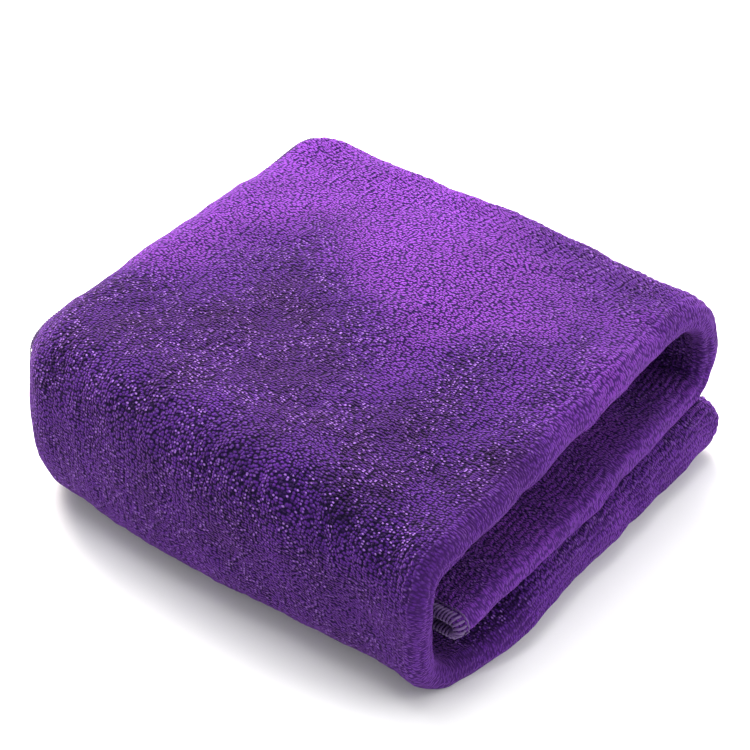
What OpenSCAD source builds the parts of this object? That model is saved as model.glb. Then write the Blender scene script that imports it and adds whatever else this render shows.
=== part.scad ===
// Quick dry towel, put away as a folded block.
//
// One long cloth is doubled along its length, so each layer below is two plies joined by a round
// front lip. The doubled strip is then wrapped. Its inner end is rolled into a stack at the
// bottom. From the stack it runs along the underside to the left fold, over the top, round the
// right fold and back as a tail, which lies on the stack inside the open mouth.
//
// +X runs along the strip, -Y is the side of the lips, +Y the side of the loose edges, +Z is up.
// The origin is the middle of the block's underside. The wrap opens about the left fold.

/* [Block] */
// Width across the strip, from the front lips to the loose edges at the back
strip_w = 175; // [140:5:220]
// Length from the skin of the left fold to the skin of the right fold
block_l = 155; // [130:5:200]
// Height of the open mouth between the top layer and the tail
mouth_h = 22; // [14:1:26]

/* [Cloth] */
// Thickness of a layer, which is two plies of pile
layer_t = 7; // [5:0.5:8]
// Space between layers that lie on each other in the stack
layer_gap = 0.3; // [0.2:0.1:0.6]
// Space between the parts that move away from each other when the wrap opens
lift_gap = 0.4; // [0.3:0.1:1]
// Space between the tail's end and the inside of the left fold
tail_gap = 4; // [3:1:12]
// How far the rolled stack's own left fold is set to the right of the block's left fold
stack_set = 10; // [2:1:40]

/* [Sewing] */
// Thickness of the overlock thread along the cloth's edges
thread_d = 0.8; // [0.6:0.1:1.2]

/* [Hidden] */
$fn = 64;

cloth = "rebeccapurple";
thread = "plum";

// Underside of each layer, counted up from the surface that the towel lies on
pitch = layer_t + layer_gap;
bottom_z = 0;
inner_z = pitch;
upper_z = 2 * pitch;
tail_z = upper_z + layer_t + lift_gap;
top_z = tail_z + layer_t + mouth_h;
block_h = top_z + layer_t;

// Outer radius of each fold, which spans the two layers that it joins
left_r = (block_h - bottom_z) / 2;
right_r = (block_h - tail_z) / 2;
stack_right_r = (upper_z + layer_t - bottom_z) / 2;
stack_left_r = (upper_z + layer_t - inner_z) / 2;

// Centre line of each fold, as its x and z
left_c = [left_r - block_l / 2, bottom_z + left_r];
right_c = [block_l / 2 - right_r, tail_z + right_r];
stack_right_c = [block_l / 2 - stack_right_r, bottom_z + stack_right_r];
stack_left_c = [left_c.x + stack_set, inner_z + stack_left_r];

// Half of the angle left open where the wrap parts, at the middle of the left fold
part_angle = asin(lift_gap / 2 / (left_r - layer_t));

// Ends of the cloth: the tail's, inside the left fold, and the rolled one, inside the stack
tail_end_x = tail_gap + layer_t + thread_d - block_l / 2;
inner_end_x = stack_right_c.x - thread_d - layer_gap;

// The cloth stops short of the block's back by the thread that binds its loose edges
front_y = -strip_w / 2;
lip_y = front_y + layer_t / 2;
back_y = strip_w / 2 - thread_d;
edge_y = strip_w / 2 - thread_d / 2;

// Depths of the two plies' middles in a layer
ply_depths = [layer_t / 4, 3 * layer_t / 4];

// ---- Sections, with x through the layer from 0 to layer_t and y across the strip ----

module layer_section() {
    translate([layer_t / 2, lip_y])
        circle(d = layer_t);
    translate([0, lip_y])
        square([layer_t, back_y - lip_y]);
}

module edge_section() {
    for (depth = ply_depths)
        translate([depth, edge_y])
            circle(d = thread_d);
}

// ---- Ways along the strip, each carrying the section that it is given ----

// A flat stretch from x0 to x1 with its underside at z
module flat(x0, x1, z) {
    translate([x1, 0, z])
        rotate([0, -90, 0])
            linear_extrude(x1 - x0)
                children();
}

// A fold about the line at centre, from one angle to another: 0 is right of it and 90 above
module bend(centre, outer_r, from, to) {
    translate([centre.x, 0, centre.y])
        rotate([90, 0, 0])
            rotate_extrude(angle = to - from, start = from)
                mirror([0, 1])
                    translate([outer_r - layer_t, 0])
                        children();
}

module bottom_run() {
    flat(left_c.x, stack_right_c.x, bottom_z)
        children();
}

module stack_right_turn() {
    bend(stack_right_c, stack_right_r, -90, 90)
        children();
}

module stack_upper_run() {
    flat(stack_left_c.x, stack_right_c.x, upper_z)
        children();
}

module stack_left_turn() {
    bend(stack_left_c, stack_left_r, 90, 270)
        children();
}

module stack_inner_run() {
    flat(stack_left_c.x, inner_end_x, inner_z)
        children();
}

module left_lower_turn() {
    bend(left_c, left_r, 180 + part_angle, 270)
        children();
}

module left_upper_turn() {
    bend(left_c, left_r, 90, 180 - part_angle)
        children();
}

module top_run() {
    flat(left_c.x, right_c.x, top_z)
        children();
}

module right_upper_turn() {
    bend(right_c, right_r, 0, 90)
        children();
}

module right_lower_turn() {
    bend(right_c, right_r, -90, 0)
        children();
}

module tail_run() {
    flat(tail_end_x, right_c.x, tail_z)
        children();
}

// Thread round a layer's cut end: a run along each ply and a half turn round the lip.
// x is the thread's middle and z the layer's underside.
module end_thread(x, z) {
    for (depth = ply_depths)
        translate([x, lip_y, z + depth])
            rotate([-90, 0, 0])
                cylinder(d = thread_d, h = back_y - lip_y);
    translate([x, lip_y, z + layer_t / 2])
        rotate([0, -90, 0])
            rotate_extrude(angle = 180, start = 180)
                translate([layer_t / 4, 0])
                    circle(d = thread_d);
}

// ---- The cloth, below the hinge line ----

module bottom_layer() {
    color(cloth)
        bottom_run()
            layer_section();
}

module stack_right_fold() {
    color(cloth)
        stack_right_turn()
            layer_section();
}

module stack_upper_layer() {
    color(cloth)
        stack_upper_run()
            layer_section();
}

module stack_left_fold() {
    color(cloth)
        stack_left_turn()
            layer_section();
}

module stack_inner_layer() {
    color(cloth)
        stack_inner_run()
            layer_section();
}

module left_fold_lower() {
    color(cloth)
        left_lower_turn()
            layer_section();
}

// ---- The cloth, above the hinge line ----

module left_fold_upper() {
    color(cloth)
        left_upper_turn()
            layer_section();
}

module top_layer() {
    color(cloth)
        top_run()
            layer_section();
}

module right_fold_upper() {
    color(cloth)
        right_upper_turn()
            layer_section();
}

module right_fold_lower() {
    color(cloth)
        right_lower_turn()
            layer_section();
}

module tail_layer() {
    color(cloth)
        tail_run()
            layer_section();
}

// ---- The overlock threads ----

module tail_end_thread() {
    color(thread)
        end_thread(tail_end_x - thread_d / 2, tail_z);
}

module inner_end_thread() {
    color(thread)
        end_thread(inner_end_x + thread_d / 2, inner_z);
}

module lower_edge_thread() {
    color(thread) {
        bottom_run() edge_section();
        stack_right_turn() edge_section();
        stack_upper_run() edge_section();
        stack_left_turn() edge_section();
        stack_inner_run() edge_section();
        left_lower_turn() edge_section();
    }
}

module upper_edge_thread() {
    color(thread) {
        left_upper_turn() edge_section();
        top_run() edge_section();
        right_upper_turn() edge_section();
        right_lower_turn() edge_section();
        tail_run() edge_section();
    }
}

bottom_layer();
stack_right_fold();
stack_upper_layer();
stack_left_fold();
stack_inner_layer();
left_fold_lower();
left_fold_upper();
top_layer();
right_fold_upper();
right_fold_lower();
tail_layer();
tail_end_thread();
inner_end_thread();
lower_edge_thread();
upper_edge_thread();
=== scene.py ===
import math

import bpy
import numpy as np
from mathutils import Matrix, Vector


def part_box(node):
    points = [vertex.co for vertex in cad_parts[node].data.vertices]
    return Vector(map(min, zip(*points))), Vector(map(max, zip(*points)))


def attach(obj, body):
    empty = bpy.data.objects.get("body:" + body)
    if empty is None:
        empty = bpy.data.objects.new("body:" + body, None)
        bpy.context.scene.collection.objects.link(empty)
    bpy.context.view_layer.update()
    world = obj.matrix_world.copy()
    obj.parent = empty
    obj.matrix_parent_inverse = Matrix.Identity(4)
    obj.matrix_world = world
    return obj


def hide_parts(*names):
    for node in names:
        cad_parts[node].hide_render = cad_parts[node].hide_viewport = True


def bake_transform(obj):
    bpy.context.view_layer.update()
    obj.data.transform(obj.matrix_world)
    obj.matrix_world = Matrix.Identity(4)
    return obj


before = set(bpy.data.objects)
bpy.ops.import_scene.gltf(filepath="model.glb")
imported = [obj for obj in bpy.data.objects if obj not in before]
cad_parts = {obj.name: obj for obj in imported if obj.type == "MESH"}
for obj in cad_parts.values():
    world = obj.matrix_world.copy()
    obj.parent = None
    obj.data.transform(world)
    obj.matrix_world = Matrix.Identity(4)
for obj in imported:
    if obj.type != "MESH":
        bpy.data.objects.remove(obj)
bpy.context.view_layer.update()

# The looks of a folded terry towel. The towel is doubled lengthwise, with its long fold at the
# front, and the doubled strip is rolled into a stack and wrapped once round: along the underside,
# up the left fold, over the top, round the right fold and back into the mouth as the tail.
#
# Each run of the strip is a grid of points. Its rows follow one another along the strip and its
# columns go across the cloth, from one long edge over the front lip to the other long edge, so a
# rib of the pile stays on the same columns. Lengths are in millimetres until a mesh is made.

MM = 0.001
SEED = 11


# ---------------------------------------------------------------- sizes from the frame

def corners(node):
    """Lowest and highest corner of a CAD node at rest, in millimetres."""
    low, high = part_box(node)
    return np.array(low) / MM, np.array(high) / MM


# The cloth stands this far proud of the CAD solids at its right and left ends
PROUD = 2.0
PROUD_LEFT = 1.2

top_low, top_high = corners("top_layer")
stack_low, stack_high = corners("stack_right_fold")
tail_low = corners("tail_layer")[0]

BLOCK_H = top_high[2]
# LAYER is the doubled cloth's thickness. Each R is the radius of a fold's middle line, or of the
# rolled stack's outside, and each X is where a fold starts.
LAYER = top_high[2] - top_low[2]
LEFT_X = corners("left_fold_lower")[1][0] - PROUD_LEFT
LEFT_R = (BLOCK_H - LAYER) / 2
RIGHT_X = top_high[0] + PROUD
RIGHT_R = (BLOCK_H - tail_low[2] - LAYER) / 2
TAIL_Z = tail_low[2] + LAYER / 2
TAIL_END_X = tail_low[0]
STACK_X = stack_low[0] + PROUD
STACK_R = stack_high[2] / 2
CORE_X = corners("stack_left_fold")[1][0] + 8
CORE_END_X = corners("stack_inner_layer")[1][0]

# The cloth: its width on either side of the front lip, the thickness of one ply and half the gap
# between two, how much shorter the under ply is at the back, and the width that the overlock
# presses together
HALF_W = 175.0
PLY = 3.3
SLIT = 0.2
FLAT_H = PLY / 2 + SLIT
UNDER_SHORT = 2.5
HEM = 5

# The pile: the ribs' spacing and height, the spacing of the loops along a rib, and how far from
# the front lip the pile is smooth
RIB_PITCH = 2.45
RIB_H = 0.65
LOOP_PITCH = 1.5
LIP_WIDTH = 6.5

# The grid: its spacing across and along, and the columns from one vertex to the next on the
# plain side of the cloth, which is hidden
COLUMN = RIB_PITCH / 4
ROW = 2.0
HIDDEN_STEP = 4


# ---------------------------------------------------------------- small tools

def waves(seed, u, v, wavelength, count=14):
    """A smooth random field over u and v, about 1 high, whose waves are near one length. Each
    field has its own seed, so a field stays the same when another one is changed."""
    rng = np.random.default_rng(SEED + seed)
    field = np.zeros(np.broadcast(u, v).shape)
    for _ in range(count):
        heading = rng.uniform(0, 2 * math.pi)
        turns = 2 * math.pi / (wavelength * rng.uniform(0.7, 1.5))
        phase = rng.uniform(0, 2 * math.pi)
        field += np.cos(turns * (math.cos(heading) * u + math.sin(heading) * v) + phase)
    return field * math.sqrt(2 / count)


def smoothstep(x):
    x = np.clip(x, 0, 1)
    return x * x * (3 - 2 * x)


def smoothed(values, passes):
    values = np.array(values, float)
    for _ in range(passes):
        values[1:-1] += 0.25 * (values[:-2] + values[2:] - 2 * values[1:-1])
    return values


def unit(vectors):
    return vectors / np.maximum(np.linalg.norm(vectors, axis=-1, keepdims=True), 1e-9)


def arc(centre, radius, start, end, power=2.0):
    """Points of a turn in x and z. A power over 2 makes it squarer than a circle."""
    angle = np.radians(np.linspace(start, end, 200))
    cos, sin = np.cos(angle), np.sin(angle)
    x = np.sign(cos) * np.abs(cos) ** (2 / power)
    z = np.sign(sin) * np.abs(sin) ** (2 / power)
    return np.stack([centre[0] + radius * x, centre[1] + radius * z], 1)


def resample(points, step):
    """Points at even steps along a polyline, and their distances along it."""
    along = np.concatenate([[0], np.cumsum(np.hypot(*np.diff(points, axis=0).T))])
    at = np.linspace(0, along[-1], max(2, round(along[-1] / step) + 1))
    return np.stack([np.interp(at, along, points[:, 0]), np.interp(at, along, points[:, 1])], 1), at


def stations(along, places):
    """A smooth curve through (distance along the strip, value) pairs, for every row."""
    at, value = zip(*places)
    dense = np.linspace(at[0], at[-1], 500)
    return np.interp(along, dense, smoothed(np.interp(dense, at, value), 160))


# ---------------------------------------------------------------- one run of the doubled strip

def cloth_columns():
    """Places of the columns across the cloth, closer together round the two long edges."""
    flat = np.arange(0, HALF_W - PLY / 2, COLUMN)
    rim = HALF_W - PLY / 2 * (1 - np.sin(np.linspace(0.1, 0.93, 4) * math.pi / 2))
    half = np.concatenate([flat, rim])
    return np.concatenate([-half[:0:-1], half])


CROSS = cloth_columns()
SIDE = np.sign(CROSS)
DEPTH = np.abs(CROSS)
COLS = len(CROSS)
HIDDEN_HALF = np.unique(np.append(np.arange(COLS // 2, COLS, HIDDEN_STEP), COLS - 1))
HIDDEN = np.concatenate([COLS - 1 - HIDDEN_HALF[:0:-1], HIDDEN_HALF])


def ply_section(radius, flat_h):
    """The middle of a ply across the strip: its distance behind the front lip and its height over
    the strip's middle line. It turns a quarter circle at the lip and then settles to flat_h."""
    quarter = radius * math.pi / 2
    turn = np.clip(DEPTH / radius, 0, math.pi / 2)
    past = np.maximum(DEPTH - quarter, 0)
    settled = flat_h + (radius - flat_h) * np.exp(-((past / 11) ** 2))
    height = np.where(past > 0, settled, radius * np.sin(turn))
    return radius * (1 - np.cos(turn)) + past, height


def grid_normals(points):
    """Normals of a grid of points, on the pile side."""
    return unit(np.cross(np.gradient(points, axis=0), np.gradient(points, axis=1)))


class Run:
    """The middle of the ply, with its normals and its places on the flat cloth, in a grid.

    line and along are the strip's middle line in x and z and the distances along it. lip and back
    are the y of the front lip and of the long edges, and lip_r is the lip's radius, for each row.
    share is 1 where the two plies part to go round the rolled stack, and nose goes from a quarter
    turn to 0 over the rows that round off the stack's right end."""

    def __init__(self, line, along, lip, back, lip_r, share=0.0, nose=0.0):
        share = np.broadcast_to(share, along.shape)[:, None]
        nose = np.broadcast_to(nose, along.shape)
        stack_r = STACK_R - PLY / 2
        tangent = unit(np.gradient(line, along, axis=0))
        tangent[nose > 0] = (-1, 0)
        self.across = np.stack([-tangent[:, 1], tangent[:, 0]], 1)
        thin_d, thin_h = ply_section(lip_r[:, None], FLAT_H)
        fat_r = np.maximum(stack_r * np.cos(nose), 0.01)[:, None]
        fat_d, fat_h = ply_section(fat_r, fat_r)
        height = SIDE * (thin_h * (1 - share) + fat_h * share) - (STACK_R - LAYER / 2) * share
        reach = thin_d * (1 - share) + fat_d * share
        tip = (lip + PLY / 2 + 0.6 * stack_r * (1 - np.cos(nose)))[:, None]
        back = back[:, None] - np.where(SIDE < 0, UNDER_SHORT, 0) * (1 - share)
        y = tip + reach * (back - tip) / reach[:, -1:]
        x = line[:, :1] + self.across[:, :1] * height + stack_r * np.sin(nose)[:, None]
        z = line[:, 1:] + self.across[:, 1:] * height
        self.along = np.broadcast_to(along[:, None], y.shape)
        self.cross = np.broadcast_to(CROSS, y.shape)
        self.middle = np.stack([x, y, z], 2)

    def swell(self, height):
        """Moves both plies together, square to the strip."""
        self.middle[..., 0] += self.across[:, :1] * height
        self.middle[..., 2] += self.across[:, 1:] * height

    def thicken(self, end_gap, ribbed=1.0):
        """Adds the pile side with its ribs and the plain hidden side. end_gap is each point's
        distance from the run's cut end, where the cloth is hemmed as it is at its long edges.
        ribbed is 1 where the ribs stand up and 0 where brushing has closed them."""
        self.normal = grid_normals(self.middle)
        drift = 0.16 * waves(12, self.along, self.cross, 26)
        drift += 0.08 * waves(13, self.along, self.cross, 9)
        self.rib_at = self.cross / RIB_PITCH + drift
        self.rib = 0.5 + 0.5 * ribbed * np.cos(2 * math.pi * self.rib_at)
        strength = 0.75 + 0.2 * waves(14, self.along, self.cross, 40)
        to_edge = np.minimum(HALF_W - DEPTH, end_gap)
        rounding = 1 - (1 - np.clip(to_edge / (PLY / 2), 0, 1)) ** 2
        pressed = 1 - 0.4 * smoothstep((HEM - to_edge) / 2)
        half_ply = PLY / 2 * np.sqrt(np.clip(rounding, 0.1, 1)) * pressed
        dents = 0.14 * waves(8, self.along, self.cross, 15)
        dents += 0.08 * waves(9, self.along, self.cross, 6)
        pile = (dents + RIB_H * (self.rib - 0.5) * strength) * smoothstep(to_edge / HEM)
        self.outer = self.middle + self.normal * (half_ply + pile)[..., None]
        self.inner = self.middle - self.normal * half_ply[..., None]
        self.keep_off_floor()
        self.outer_normal = grid_normals(self.outer)

    def keep_off_floor(self):
        """The ribs' crests lie on the floor, and the hidden side stays over them."""
        self.outer[..., 2] = np.maximum(self.outer[..., 2], 0.4 * (1 - self.rib))
        self.inner[..., 2] = np.maximum(self.inner[..., 2], 1.2)


# ---------------------------------------------------------------- the wrap, from stack to tail

NOSE_ROWS = 14


def wrap_way():
    """The middle line of the strip from the stack's right end to the tail's end, its distances
    along the strip, and the rows where the left fold starts and where the right fold starts."""
    bottom = [[STACK_X, LAYER / 2], [LEFT_X, LAYER / 2]]
    left = arc((LEFT_X, BLOCK_H / 2), LEFT_R, -90, -270, 3.8)
    top_end = [RIGHT_X, BLOCK_H - LAYER / 2]
    right = arc((RIGHT_X, BLOCK_H - LAYER / 2 - RIGHT_R), RIGHT_R, 90, -90)
    tail_end = [TAIL_END_X, TAIL_Z]
    line, along, starts = np.empty((0, 2)), np.empty(0), []
    for part in (np.array(bottom), np.vstack([left, top_end]), np.vstack([right, tail_end])):
        points, at = resample(part, ROW)
        if len(line):
            points, at = points[1:], at[1:] + along[-1]
        line, along = np.vstack([line, points]), np.concatenate([along, at])
        starts.append(len(line) - 1)
    return np.stack([smoothed(line[:, 0], 12), smoothed(line[:, 1], 12)], 1), along, *starts[:2]


# The rows over the stack's round right end come first
line, along, fold_row, tail_row = wrap_way()
nose = np.linspace(math.pi / 2, 0, NOSE_ROWS, endpoint=False)
line = np.vstack([np.tile(line[0], (NOSE_ROWS, 1)), line])
along = np.concatenate([-(STACK_R - PLY / 2) * nose, along])
nose = np.concatenate([nose, np.zeros(len(line) - NOSE_ROWS)])
fold_row += NOSE_ROWS
tail_row += NOSE_ROWS

# Places along the strip: where the left fold, the top, the right fold and the tail start
S_RIGHT = along[tail_row]
S_LEFT = along[fold_row]
S_TOP = S_RIGHT - (RIGHT_X - LEFT_X)
S_TAIL = S_RIGHT + math.pi * RIGHT_R
S_END = along[-1]

# Where the front lip and the two long edges at the back are in y, and how tight the lip turns
lip = stations(along, [
    (along[0], -80), (0, -80), (33, -82), (80, -84.5), (S_LEFT - 14, -86),
    (S_LEFT, -83), (S_LEFT + 20, -79), (S_LEFT + 40, -78.5), (S_TOP, -77.5),
    (S_TOP + 60, -78), (S_RIGHT - 10, -74.5), (S_RIGHT + 22, -75), (S_TAIL, -75.5),
    (S_TAIL + 25, -78.5), (S_TAIL + 50, -80.5), (S_TAIL + 100, -83.5), (S_END, -84),
])
back = stations(along, [
    (along[0], 85), (S_LEFT - 40, 85), (S_LEFT, 78), (S_LEFT + 25, 81.5), (S_TOP - 12, 86),
    (S_TOP + 2, 92.5), (S_TOP + 50, 88.4), (S_TOP + 90, 89), (S_RIGHT, 87.5), (S_TAIL, 85),
    (S_END, 84),
])
lip_r = stations(along, [
    (along[0], 3), (S_LEFT - 10, 3.0), (S_LEFT + 40, 3.2), (S_TOP + 30, 3.6), (S_RIGHT, 3.4),
    (S_TAIL, 3.0), (S_END, 2.7),
])
lip += 0.5 * waves(1, along, 0, 46) + 0.3 * waves(2, along, 0, 17)
back += 0.8 * waves(3, along, 0, 60)
lip_r += 0.25 * waves(4, along, 0, 30)

# The strip opens round the rolled stack: 1 over the stack, 0 once it is in the left fold
share = smoothstep((line[:, 0] - LEFT_X + 14) / 44) * (along < S_LEFT + 25)

wrap = Run(line, along, lip, back, lip_r, share, nose)


def lay_wrap():
    """Lets the wrap lie as cloth does: soft swells, a top that rises behind the lip and towards
    the right, a slack front left corner, a left fold that bulges towards the back, and long
    edges that turn in at the back."""
    s = wrap.along
    x, y, z = np.moveaxis(wrap.middle, 2, 0)
    in_wrap = smoothstep((s - S_LEFT - 6) / 20) * smoothstep((S_TAIL - 4 - s) / 20)
    on_tail = smoothstep((s - S_TAIL + 12) / 25)
    height = np.clip((z - TAIL_Z) / (BLOCK_H - LAYER / 2 - TAIL_Z), 0, 1)
    behind_lip = smoothstep((y + 92) / 26)

    dome = 4.0 - 0.008 * y + 3.3 * np.exp(-(((y + 4) / 27) ** 2))
    rise = (1.2 + dome * smoothstep((x + 60) / 120)) * behind_lip
    to_front_left = smoothstep((-y - 15) / 70) * smoothstep((20 - x) / 90)
    slump = 8.0 * to_front_left * smoothstep((z - 14) / 40)
    soft = 0.7 * waves(5, s, y, 80) + 0.25 * waves(6, s, y, 34)
    at_edge = np.clip((DEPTH - HALF_W + 17) / 17, 0, 1) ** 2
    turned = at_edge * (3 + 8.5 * smoothstep((S_RIGHT + 14 - s) / 35))
    belly = 3.7 * np.exp(-(((y - 28) / 48) ** 2) - ((s - S_LEFT - 28) / 26) ** 2)

    wrap.middle[..., 2] += in_wrap * (rise * height - slump)
    wrap.swell(soft * (0.9 * in_wrap + 0.15 * on_tail) - turned * in_wrap + belly)


# Spots on top where a hand has brushed the pile, the last one a painted highlight towards the
# right fold: distance past S_TOP, y, radius and lightness
HAND_SPOTS_AND_HIGHLIGHT = [(43, -57, 16, 0.40), (56, -34, 9, -0.28), (43, 24, 17, -0.20), (114, 12, 22, 0.45)]


def painted_light_and_nap():
    """How bright the pile is painted, partly brushed nap and partly painted light and shade: dark
    over the left fold and the left of the top, and light towards the right and the back, with a
    ragged border between the two. It is fairly light on the tail and under the block too, and the
    hand spots, the last of which is a painted highlight, are on the upper ply only."""
    s, w, y = wrap.along, wrap.cross, wrap.middle[..., 1]
    to_back = np.clip(y / 60, -1, 1)
    border = S_TOP + 46 + 12 * waves(31, s, w, 70)
    # Painted light towards the right fold, brighter and reaching further round towards the back
    light = smoothstep((s - border + 36) / 72)
    light *= smoothstep((S_RIGHT + 16 + 20 * to_back - s) / 26) * (1 + 0.22 * to_back)
    blots = 0.07 * waves(32, s, w, 42) + 0.05 * waves(33, s, w, 17)
    for past, spot_y, radius, lightness in HAND_SPOTS_AND_HIGHLIGHT:
        from_spot = np.hypot(s - S_TOP - past, y - spot_y) / radius
        blots += lightness * np.exp(-(from_spot ** 2)) * (w > 0)
    # Painted shade on the left of the top
    left_of_top = smoothstep((s - S_TOP + 25) / 25) * (1 - smoothstep((s - border) / 40))
    tail = smoothstep((s - S_TAIL + 30) / 30)
    under = smoothstep((S_LEFT - 4 - s) / 20)
    return 0.62 - 0.18 * left_of_top + 0.88 * light + 0.45 * tail + 0.22 * under + blots


def ribs_shown():
    """The ribs stand up on the stack, at the front lip, round the right fold and on the tail.
    Over the left fold and the top the pile is brushed and they hardly show."""
    s, w = wrap.along, wrap.cross
    under = smoothstep((S_LEFT + 8 - s) / 24)
    right = smoothstep((s - S_RIGHT + 24) / 26)
    at_lip = 0.8 * np.exp(-((w / 13) ** 2))
    patches = 0.12 + 0.2 * np.clip(waves(15, s, w, 40), 0, 1)
    return np.maximum.reduce([under, right, at_lip, patches])


lay_wrap()
wrap.thicken(S_END - wrap.along, ribs_shown())
wrap.nap = painted_light_and_nap()

# ---------------------------------------------------------------- the core of the rolled stack

CORE_R = (2 * STACK_R - 2 * PLY - 2 * SLIT) / 4
CORE_SETBACK = 12.0


def core_run():
    """The stack's two inner layers, folded once at their left."""
    inner_end = [CORE_END_X, STACK_R - CORE_R]
    left = arc((CORE_X, STACK_R), CORE_R, -90, -270)
    outer_end = [STACK_X, STACK_R + CORE_R]
    points, at = resample(np.vstack([inner_end, left, outer_end]), 2 * ROW)
    at_front = -85 + CORE_SETBACK + waves(21, at, 0, 50)
    at_back = 84.5 + waves(22, at, 0, 60)
    return Run(points, at, at_front, at_back, np.full(len(at), 2.4))


core = core_run()
core.thicken(core.along)
core.nap = np.full(core.cross.shape, 0.8)


# ---------------------------------------------------------------- meshes

def new_object(name, verts, faces, normals=None):
    """A smooth mesh object in the scene, from vertices in millimetres."""
    mesh = bpy.data.meshes.new(name)
    mesh.from_pydata((np.asarray(verts) * MM).tolist(), [], faces)
    mesh.polygons.foreach_set("use_smooth", [True] * len(mesh.polygons))
    mesh.update()
    if normals is not None:
        mesh.normals_split_custom_set_from_vertices(normals.tolist())
    obj = bpy.data.objects.new(name, mesh)
    bpy.context.scene.collection.objects.link(obj)
    return obj


def add_values(mesh, name, values, kind="FLOAT"):
    attribute = mesh.attributes.new(name, kind, "POINT")
    attribute.data.foreach_set("value" if kind == "FLOAT" else "vector", values.ravel())


def quads(a, b):
    """Faces between two runs of vertices. Their front is on the side of cross(a to b, onwards)."""
    return np.stack([a[:-1], b[:-1], b[1:], a[1:]], 1).tolist()


def weld_nose(numbers):
    """Gives the two halves of a grid's first row the same vertices, as they meet there."""
    half = numbers.shape[1] // 2
    numbers[0, :half] = numbers[0, :half:-1]


def end_faces(pile, hidden, row):
    """Narrow faces that close a cut end, from the pile side to the hidden side's fewer columns."""
    faces = []
    for k in range(len(HIDDEN) - 1):
        face = pile[row, HIDDEN[k]:HIDDEN[k + 1] + 1].tolist()
        face += [hidden[row, k + 1], hidden[row, k]]
        faces.append(face if row == 0 else face[::-1])
    return faces


def cloth_faces(pile, hidden, nose_weld):
    """Faces of the pile side, the hidden side, the long edges and the cut ends."""
    faces = []
    for row in range(len(pile) - 1):
        faces += quads(pile[row], pile[row + 1])
        faces += quads(hidden[row + 1], hidden[row])
    faces += quads(pile[:, 0], hidden[:, 0])
    faces += quads(hidden[:, -1], pile[:, -1])
    if not nose_weld:
        faces += end_faces(pile, hidden, 0)
    faces += end_faces(pile, hidden, len(pile) - 1)
    return [face for face in faces if len(set(face)) > 2]


def cloth_piece(name, run, first, last, nose_weld=False):
    """A closed mesh of the cloth from one row to another, with its places, ribs, and nap with its
    painted light and shade.
    """
    picked = slice(first, last + 1)
    rows = last - first + 1
    pile = np.arange(rows * COLS).reshape(rows, COLS)
    hidden = rows * COLS + np.arange(rows * len(HIDDEN)).reshape(rows, len(HIDDEN))
    if nose_weld:
        weld_nose(pile)
        weld_nose(hidden)
    faces = cloth_faces(pile, hidden, nose_weld)
    used = np.unique(np.concatenate([np.ravel(face) for face in faces]))
    place = np.zeros(hidden.max() + 1, int)
    place[used] = np.arange(len(used))

    def both_sides(outer, inner, *shape):
        sides = [outer[picked].reshape(-1, *shape), inner[picked][:, HIDDEN].reshape(-1, *shape)]
        return np.concatenate(sides)[used]

    def values(field):
        return both_sides(field, field).astype(np.float32)

    verts = both_sides(run.outer, run.inner, 3)
    normals = both_sides(run.outer_normal, -run.normal, 3)
    obj = new_object(name, verts, [place[face].tolist() for face in faces], normals)
    flat = np.zeros(run.cross.shape)
    loops = [values(run.rib_at), values(run.along / LOOP_PITCH), values(flat)]
    strip = [values(run.cross), values(run.along), values(flat)]
    add_values(obj.data, "loops", np.stack(loops, 1), "FLOAT_VECTOR")
    add_values(obj.data, "strip", np.stack(strip, 1), "FLOAT_VECTOR")
    add_values(obj.data, "rib", values(run.rib))
    add_values(obj.data, "fold", values(np.exp(-((run.cross / LIP_WIDTH) ** 2))))
    add_values(obj.data, "nap", values(run.nap))
    return obj


last_row = len(line) - 1
stack_cloth = cloth_piece("stack_cloth", wrap, 0, fold_row, nose_weld=True)
core_cloth = cloth_piece("core_cloth", core, 0, len(core.middle) - 1)
wrap_cloth = cloth_piece("wrap_cloth", wrap, fold_row, tail_row)
tail_cloth = cloth_piece("tail_cloth", wrap, tail_row, last_row)

# ---------------------------------------------------------------- overlock threads

# The two threads' radii, the length and width of a stitch, and how finely the coils are made.
# The way into the cloth from a long edge is taken over INTO_COLUMNS columns.
THREAD_R = 0.4
NEEDLE_R = 0.22
STITCH = 1.15
STITCH_W = 4.2
COIL_STEPS = 8
TUBE_SIDES = 5
INTO_COLUMNS = 8


def edge_run(run, rows, column):
    """Points of a long edge of the cloth, with the ways into the cloth and square to it."""
    edge = run.middle[rows, column]
    inner_column = INTO_COLUMNS if column == 0 else -1 - INTO_COLUMNS
    into = unit(run.middle[rows, inner_column] - edge)
    return edge, into, run.normal[rows, column]


def end_run(run, row, step):
    """The same for a cut end of the cloth."""
    edge = run.middle[row]
    return edge, unit(run.middle[row + 2 * step] - edge), run.normal[row]


def coil_line(edge, into, normal):
    """The overlock thread's way over the edge and back, once for every stitch, and at each of its
    points the direction of the edge."""
    steps = np.diff(edge, axis=0)
    along = np.concatenate([[0], np.cumsum(np.linalg.norm(steps, axis=1))])
    turns = max(1, round(along[-1] / STITCH))
    at = np.linspace(0, along[-1], turns * COIL_STEPS + 1)
    phase = np.linspace(0, 2 * math.pi * turns, len(at))[:, None]

    def between(field):
        return np.stack([np.interp(at, along, field[:, k]) for k in range(3)], 1)

    out = -0.6 + STITCH_W * (0.5 - 0.5 * np.cos(phase))
    over = (0.3 * PLY + THREAD_R) * np.sin(phase)
    points = between(edge) + between(into) * out + between(normal) * over
    return points, between(np.gradient(edge, axis=0))


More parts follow.
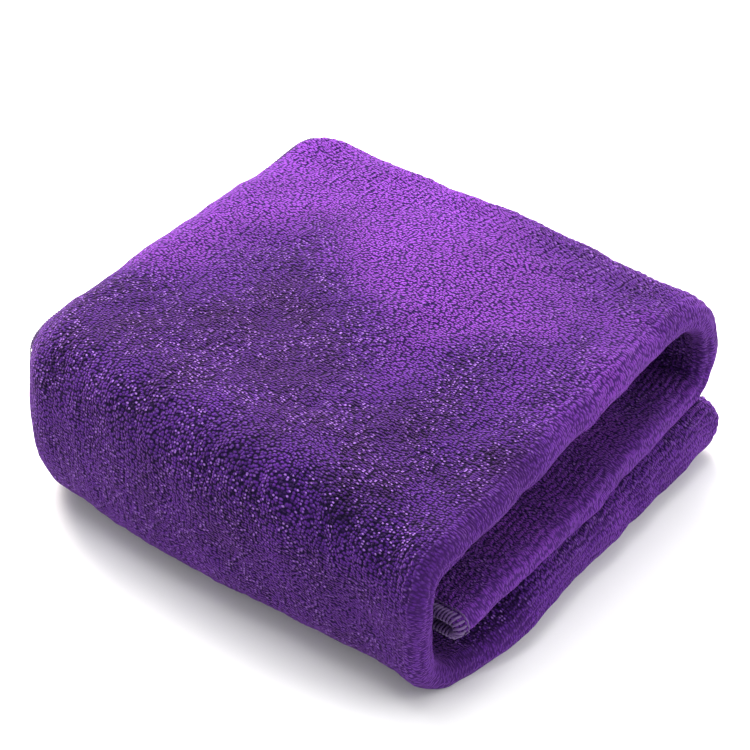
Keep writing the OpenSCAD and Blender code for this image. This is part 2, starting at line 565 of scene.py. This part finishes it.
def needle_line(edge, into, normal, side):
    """The needle's thread: a straight line of small stitches along the inner side of the coils."""
    count = round(np.linalg.norm(np.diff(edge, axis=0), axis=1).sum() / STITCH) * 2
    at = np.linspace(0, len(edge) - 1, max(count, 2))
    place = edge + into * (STITCH_W - 0.7) + normal * side * (0.3 * PLY + 2.2 * THREAD_R)
    points = np.stack([np.interp(at, np.arange(len(edge)), place[:, k]) for k in range(3)], 1)
    points[::2] -= 0.25 * side * normal[np.clip(at[::2].astype(int), 0, len(edge) - 1)]
    return points, np.broadcast_to(into[0], points.shape)


def tube(points, side, radius, sides):
    """Vertices and faces of a closed round tube along a line of points. side is any direction
    that is never along the line."""
    forward = unit(np.gradient(points, axis=0))
    first = unit(np.cross(forward, side))
    second = np.cross(forward, first)
    angle = (np.arange(sides) * 2 * math.pi / sides)[None, :, None]
    ring = first[:, None] * np.cos(angle) + second[:, None] * np.sin(angle)
    verts = (points[:, None] + radius * ring).reshape(-1, 3)
    index = np.arange(len(verts)).reshape(len(points), sides)
    faces = []
    for k in range(sides):
        faces += quads(index[:, k], index[:, (k + 1) % sides])
    return verts, faces + [index[0, ::-1].tolist(), index[-1].tolist()]


def thread_piece(name, runs):
    """One mesh of all the threads along some edges. None of them goes below the floor."""
    verts, faces, count = [], [], 0
    for run in runs:
        needles = [(needle_line(*run, side), NEEDLE_R) for side in (1, -1)]
        for (points, side), radius in [(coil_line(*run), THREAD_R), *needles]:
            points[:, 2] = np.maximum(points[:, 2], radius)
            more_verts, more_faces = tube(points, side, radius, TUBE_SIDES)
            verts.append(more_verts)
            faces += [[index + count for index in face] for face in more_faces]
            count += len(more_verts)
    return new_object(name, np.vstack(verts), faces)


def both_edges(run, first, last):
    """The two long edges of a run, from one row to another."""
    rows = slice(first, last + 1)
    return [edge_run(run, rows, 0), edge_run(run, rows, -1)]


lower_edge_stitches = thread_piece("lower_edge_stitches", [
    *both_edges(wrap, NOSE_ROWS // 2, fold_row),
    *both_edges(core, 0, len(core.middle) - 1),
])
wrap_edge_stitches = thread_piece("wrap_edge_stitches", both_edges(wrap, fold_row, tail_row))
tail_edge_stitches = thread_piece("tail_edge_stitches", both_edges(wrap, tail_row, last_row))
tail_end_stitches = thread_piece("tail_end_stitches", [end_run(wrap, last_row, -1)])
inner_end_stitches = thread_piece("inner_end_stitches", [end_run(core, 0, 1)])


# ---------------------------------------------------------------- materials

class Nodes:
    """A short way to write a material's node tree."""

    def __init__(self, name):
        self.material = bpy.data.materials.new(name)
        self.material.use_nodes = True
        self.tree = self.material.node_tree
        self.shader = self.tree.nodes["Principled BSDF"]

    def put(self, socket, value):
        if isinstance(value, bpy.types.NodeSocket):
            self.tree.links.new(value, socket)
        else:
            socket.default_value = value

    def add(self, kind, inputs, **settings):
        made = self.tree.nodes.new("ShaderNode" + kind)
        for key, value in settings.items():
            setattr(made, key, value)
        for key, value in inputs.items():
            self.put(made.inputs[key], value)
        return made

    def attribute(self, name, output="Fac"):
        return self.add("Attribute", {}, attribute_name=name).outputs[output]

    def math(self, operation, a, b=0.0, c=0.0):
        return self.add("Math", {0: a, 1: b, 2: c}, operation=operation).outputs[0]

    def mapped(self, value, low, high, to_low, to_high):
        inputs = {
            "Value": value, "From Min": low, "From Max": high, "To Min": to_low, "To Max": to_high,
        }
        return self.add("MapRange", inputs, interpolation_type="SMOOTHSTEP").outputs["Result"]

    def noise(self, vector, scale, detail=2.0):
        inputs = {"Vector": vector, "Scale": scale, "Detail": detail}
        return self.add("TexNoise", inputs).outputs["Fac"]

    def mix(self, share, a, b):
        made = self.add("Mix", {}, data_type="RGBA")
        for socket, value in zip([made.inputs[0], made.inputs[6], made.inputs[7]], [share, a, b]):
            self.put(socket, value)
        return made.outputs[2]

    def finish(self, relief, strength, depth_m, roughness, sheen):
        """The fine relief, the roughness and the sheen, which every cloth and thread has."""
        bump = self.add("Bump", {"Strength": strength, "Distance": depth_m, "Height": relief})
        self.put(self.shader.inputs["Normal"], bump.outputs["Normal"])
        self.shader.inputs["Roughness"].default_value = roughness
        self.shader.inputs["Sheen Weight"].default_value = sheen


# Linear colours: painted shade between the loops; the loops where the nap field, with its painted
# light and shade, is dark and where it is light; painted highlights at the tips of odd loops; the
# front lip, with a smoother pile and a painted highlight; and the overlock thread's two
GROOVE_SHADE = (0.007, 0.002, 0.030, 1)
DEEP = (0.102, 0.022, 0.290, 1)
CREST = (0.150, 0.030, 0.285, 1)
TIP_HIGHLIGHT = (0.35, 0.17, 0.60, 1)
LIP_PILE_AND_HIGHLIGHT = (0.120, 0.028, 0.270, 1)
THREAD_DARK = (0.045, 0.012, 0.10, 1)
THREAD_LIGHT = (0.14, 0.06, 0.24, 1)


def terry_material():
    """Ribbed loop pile: painted shade in the grooves, painted highlights on some loop tips and
    loops darkened to painted shade among them where the nap field is dark, brushed patches with
    painted light and shade, and a smoother pile with a painted highlight where the cloth is
    folded over."""
    n = Nodes("terry")
    strip = n.attribute("strip", "Vector")
    rib = n.attribute("rib")
    fold = n.attribute("fold")
    nap = n.attribute("nap")

    # The loops, and how high the pile stands
    loops = {"Vector": n.attribute("loops", "Vector"), "Scale": 2.0, "Randomness": 0.85}
    cells = n.add("TexVoronoi", loops, voronoi_dimensions="2D")
    loop = n.mapped(cells.outputs["Distance"], 0.1, 0.7, 1.0, 0.0)
    fibre = n.noise(strip, 2.6, 3.0)
    chances = n.add("SeparateColor", {"Color": cells.outputs["Color"]}).outputs
    height = n.math("MULTIPLY_ADD", rib, 0.33, n.math("MULTIPLY", loop, 0.67))
    height = n.math("MULTIPLY_ADD", n.math("SUBTRACT", fibre, 0.5), 0.5, height)

    # Its colour: painted shade in the grooves where the pile is low, and a share of loops darkened
    # to the same painted shade
    speckled = n.mapped(n.noise(strip, 0.06, 2.0), 0.38, 0.58, 0.25, 1.0)
    speckled = n.math("MULTIPLY", speckled, n.mapped(nap, 0.6, 1.5, 1.0, 0.35))
    crest = n.mix(n.mapped(nap, 0.5, 1.5, 0.0, 1.0), DEEP, CREST)
    colour = n.mix(n.mapped(height, 0.22, 0.85, 0.0, 1.2), GROOVE_SHADE, crest)
    dark = n.math("MULTIPLY", n.mapped(chances[1], 0.50, 0.80, 0.0, 0.95), speckled)
    colour = n.mix(dark, colour, GROOVE_SHADE)
    # The nap field scales the colour's value, with its painted shade at the left and painted light
    # towards the right and the back
    colour = n.add("HueSaturation", {"Value": nap, "Color": colour}).outputs["Color"]
    # The front lip: a smoother pile, with a painted highlight
    colour = n.mix(n.math("MULTIPLY", fold, 0.4), colour, LIP_PILE_AND_HIGHLIGHT)

    # Painted highlights on the tips of a share of the loops
    light = n.math("MULTIPLY", n.mapped(chances[0], 0.74, 0.92, 0.0, 0.85), speckled)
    light = n.math("MULTIPLY", light, n.mapped(loop, 0.5, 0.95, 0.0, 1.0))
    light = n.math("MULTIPLY", light, n.math("SUBTRACT", 1.0, fold))
    n.put(n.shader.inputs["Base Color"], n.mix(light, colour, TIP_HIGHLIGHT))

    relief = n.math("MULTIPLY", height, n.math("MULTIPLY_ADD", fold, -0.3, 1.0))
    n.finish(relief, 1.0, 0.0007, roughness=0.9, sheen=0.5)
    n.shader.inputs["Specular IOR Level"].default_value = 0.08
    n.shader.inputs["Sheen Roughness"].default_value = 0.35
    n.shader.inputs["Sheen Tint"].default_value = (0.58, 0.20, 1.0, 1)
    return n.material


def thread_material():
    n = Nodes("overlock_thread")
    twist = n.noise(n.add("TexCoord", {}).outputs["Object"], 2600.0)
    n.put(n.shader.inputs["Base Color"], n.mix(twist, THREAD_DARK, THREAD_LIGHT))
    n.finish(twist, 0.5, 0.0002, roughness=0.6, sheen=0.15)
    return n.material


terry = terry_material()
thread = thread_material()
CLOTHS = (stack_cloth, core_cloth, wrap_cloth, tail_cloth)
STITCHES = (lower_edge_stitches, wrap_edge_stitches, tail_edge_stitches, tail_end_stitches,
            inner_end_stitches)
for piece in CLOTHS:
    piece.data.materials.append(terry)
for piece in STITCHES:
    piece.data.materials.append(thread)

# ---------------------------------------------------------------- bodies and sheets

for piece in (stack_cloth, core_cloth, lower_edge_stitches, inner_end_stitches):
    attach(piece, "lower")
for piece in (tail_cloth, tail_edge_stitches, tail_end_stitches):
    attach(piece, "upper")
for piece in (wrap_cloth, wrap_edge_stitches):
    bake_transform(piece)

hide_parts("bottom_layer", "stack_right_fold")
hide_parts("stack_upper_layer", "stack_left_fold", "stack_inner_layer")
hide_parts("left_fold_lower", "left_fold_upper", "top_layer")
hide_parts("right_fold_upper", "right_fold_lower", "tail_layer")
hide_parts("lower_edge_thread")
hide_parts("upper_edge_thread")
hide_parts("upper_edge_thread")
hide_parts("tail_end_thread")
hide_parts("inner_end_thread")


# ---------------------------------------------------------------- floor, light and camera

def floor():
    far = 3000
    corner_points = [(-far, -far, 0), (far, -far, 0), (far, far, 0), (-far, far, 0)]
    obj = new_object("floor", corner_points, [(0, 1, 2, 3)])
    n = Nodes("floor")
    n.shader.inputs["Base Color"].default_value = (0.9, 0.9, 0.9, 1)
    n.shader.inputs["Roughness"].default_value = 0.9
    obj.data.materials.append(n.material)


def area_light(name, place, size, power, colour=(1, 1, 1)):
    data = bpy.data.lights.new(name, "AREA")
    data.color = colour
    data.size = size
    data.energy = power
    obj = bpy.data.objects.new(name, data)
    obj.location = place
    obj.rotation_euler = Vector(place).to_track_quat("Z", "Y").to_euler()
    bpy.context.scene.collection.objects.link(obj)


def surround(strength):
    world = bpy.data.worlds.new("world")
    world.use_nodes = True
    background = world.node_tree.nodes["Background"]
    background.inputs["Color"].default_value = (1, 1, 1, 1)
    background.inputs["Strength"].default_value = strength
    bpy.context.scene.world = world


# The camera's focal length and shift, as shares of the square frame's side
FOCAL = 3.5707
SHIFT_RIGHT = -0.0036
SHIFT_UP = 0.0545


def camera(azimuth, elevation, distance, target):
    azimuth, elevation = math.radians(azimuth), math.radians(elevation)
    level = Vector((math.sin(azimuth), -math.cos(azimuth), 0))
    back = level * math.cos(elevation) + Vector((0, 0, math.sin(elevation)))
    data = bpy.data.cameras.new("camera")
    data.sensor_width = 36
    data.lens = FOCAL * data.sensor_width
    data.shift_x = SHIFT_RIGHT
    data.shift_y = SHIFT_UP
    obj = bpy.data.objects.new("camera", data)
    obj.location = Vector(target) + back * distance
    obj.rotation_euler = back.to_track_quat("Z", "Y").to_euler()
    bpy.context.scene.collection.objects.link(obj)
    bpy.context.scene.camera = obj


floor()
area_light("key", (0.5, 0.72, 0.6), 0.8, 32, (1.0, 0.92, 0.88))
area_light("top", (0.2, 0.3, 1.3), 1.2, 20)
area_light("fill", (0.6, -1.0, 0.7), 1.0, 10)
area_light("rim", (-0.8, 0.6, 0.2), 0.6, 3.5)
surround(0.5)
camera(-50.9, 38.4, 0.841, (0, 0, 0.022))
bpy.context.scene.view_settings.view_transform = "Standard"
